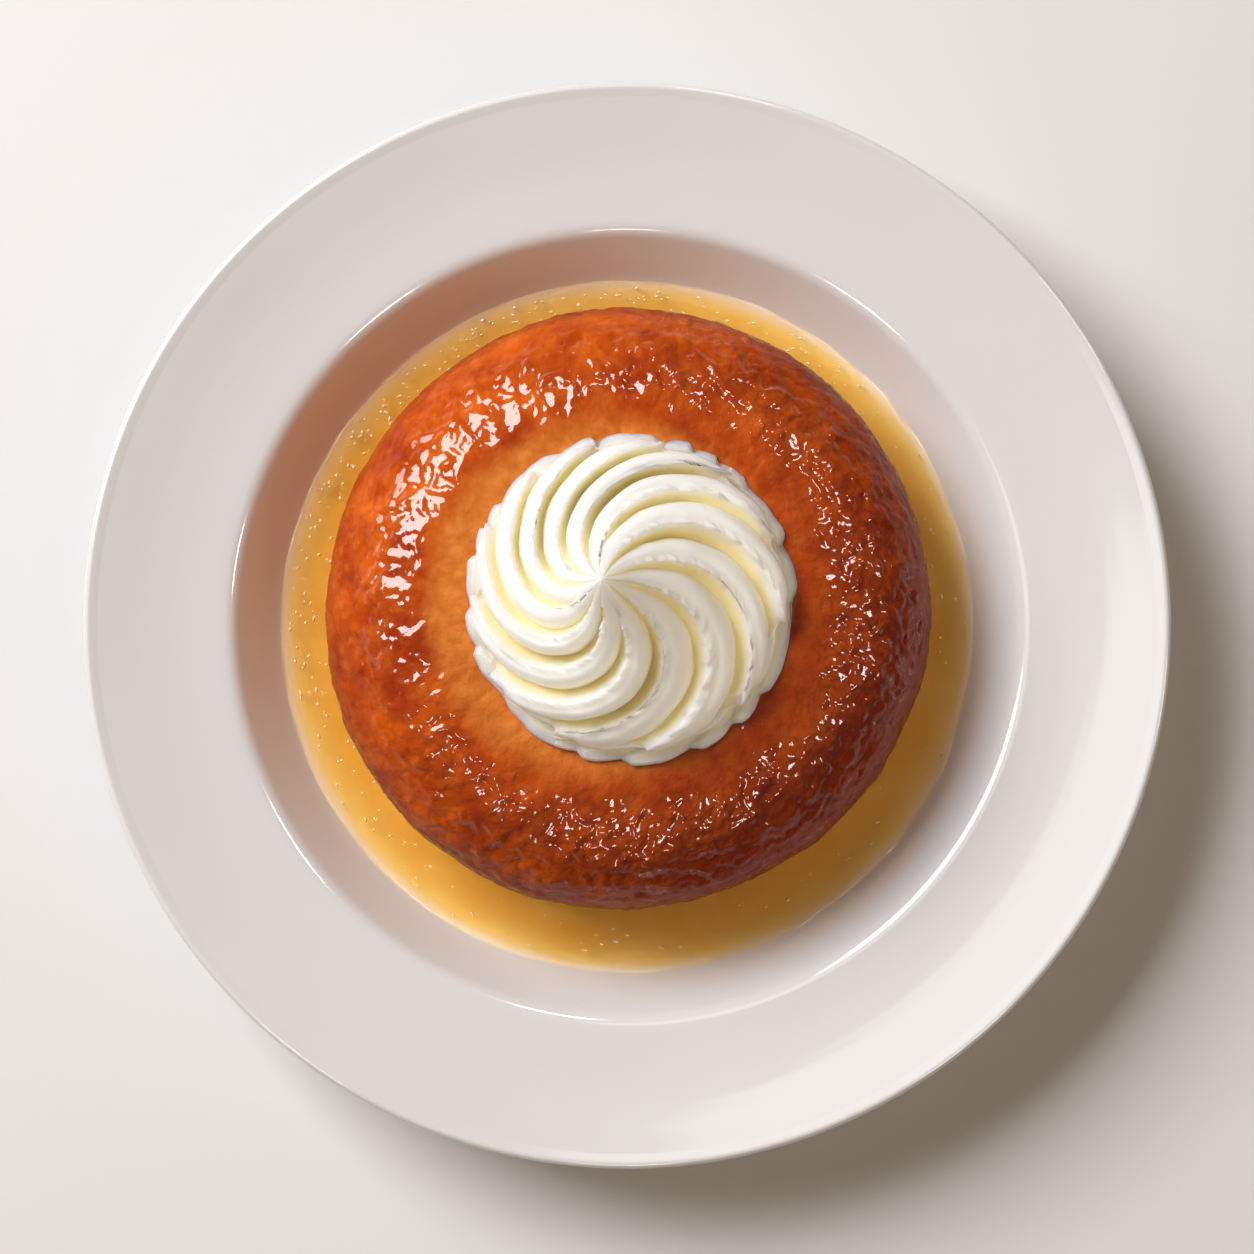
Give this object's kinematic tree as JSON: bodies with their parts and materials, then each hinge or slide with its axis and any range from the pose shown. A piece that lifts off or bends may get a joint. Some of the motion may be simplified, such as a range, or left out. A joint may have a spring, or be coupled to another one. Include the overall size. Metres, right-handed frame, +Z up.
{
  "type": "rum baba",
  "caption": "Ring-crowned rum baba standing in a pool of syrup on a round dessert plate, with a piped rosette of whipped cream in its dimpled top.",
  "frame": {"origin": "centre of the plate's foot ring, on the surface that it stands on", "axes": "+Z up, along the plate's axis; the peak of the cream leans towards -X; -Y is the side nearest a person who looks down on it"},
  "size_m": [0.1896, 0.1896, 0.0693],
  "materials": {
    "plate_glaze": "gloss",
    "rum_syrup": "gloss",
    "soaked_crumb": "gloss",
    "cream": "satin"
  },
  "bodies": {
    "root": {"plate": "plate_glaze", "syrup": "rum_syrup", "baba": "soaked_crumb", "whipped_cream": "cream"}
  },
  "joints": []
}
